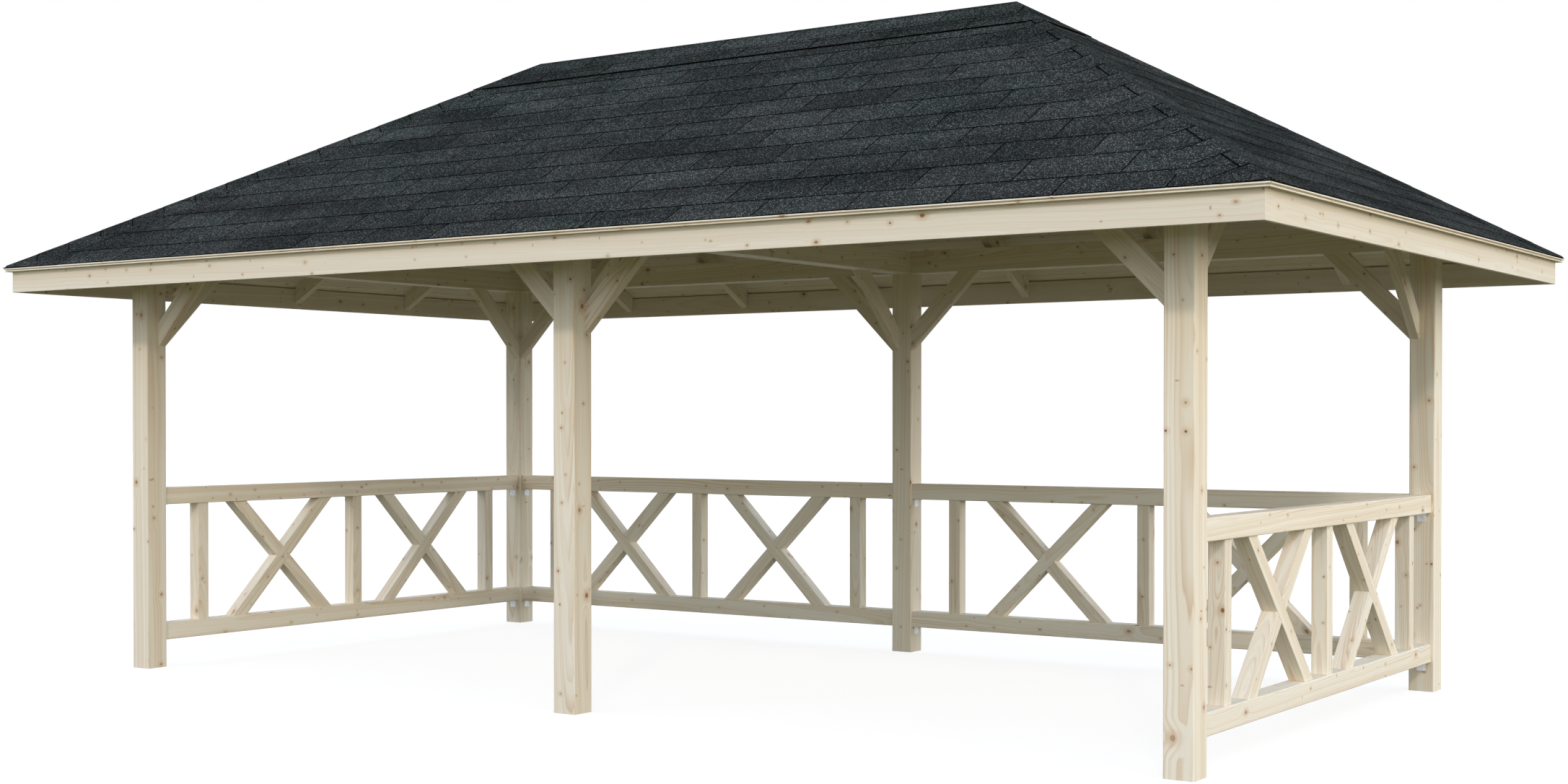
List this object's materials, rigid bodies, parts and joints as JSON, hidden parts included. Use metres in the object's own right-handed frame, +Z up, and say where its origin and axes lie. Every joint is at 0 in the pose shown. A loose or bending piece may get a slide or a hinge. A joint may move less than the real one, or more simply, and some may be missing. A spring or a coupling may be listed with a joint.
{
  "type": "garden gazebo",
  "caption": "Open garden gazebo of planed timber with square posts, 45 degree braces, crossed railings on the back and ends, an open front and a low hipped roof of dark shingles.",
  "frame": {"origin": "on the ground, at the middle of the roof's plan", "axes": "+X along the open front to the right, +Y from the open front to the back railing, +Z up"},
  "size_m": [6.7666, 3.8996, 3.1965],
  "materials": {
    "timber": "planed, untreated spruce",
    "shingle": "mineral granules on bitumen felt, matt",
    "bracket": "galvanized"
  },
  "bodies": {
    "root": {"beam_back": "timber", "beam_front": "timber", "beam_left": "timber", "beam_middle": "timber", "beam_right": "timber", "braces_back": "timber", "braces_front": "timber", "braces_left": "timber", "braces_middle": "timber", "braces_right": "timber", "fascia_back": "timber", "fascia_front": "timber", "fascia_left": "timber", "fascia_right": "timber", "hip_rafters": "timber", "post_back_left": "timber", "post_back_middle": "timber", "post_back_right": "timber", "post_front_left": "timber", "post_front_middle": "timber", "post_front_right": "timber", "rafters_back": "timber", "rafters_front": "timber", "rafters_left": "timber", "rafters_right": "timber", "rail_brackets": "bracket", "railing_back_left_infill": "timber", "railing_back_left_rails": "timber", "railing_back_right_infill": "timber", "railing_back_right_rails": "timber", "railing_left_infill": "timber", "railing_left_rails": "timber", "railing_right_infill": "timber", "railing_right_rails": "timber", "ridge_board": "timber", "ridge_cap": "shingle", "roof_deck_back": "timber", "roof_deck_front": "timber", "roof_deck_left": "timber", "roof_deck_right": "timber", "shingles_back": "shingle", "shingles_front": "shingle", "shingles_left": "shingle", "shingles_right": "shingle"}
  },
  "joints": []
}
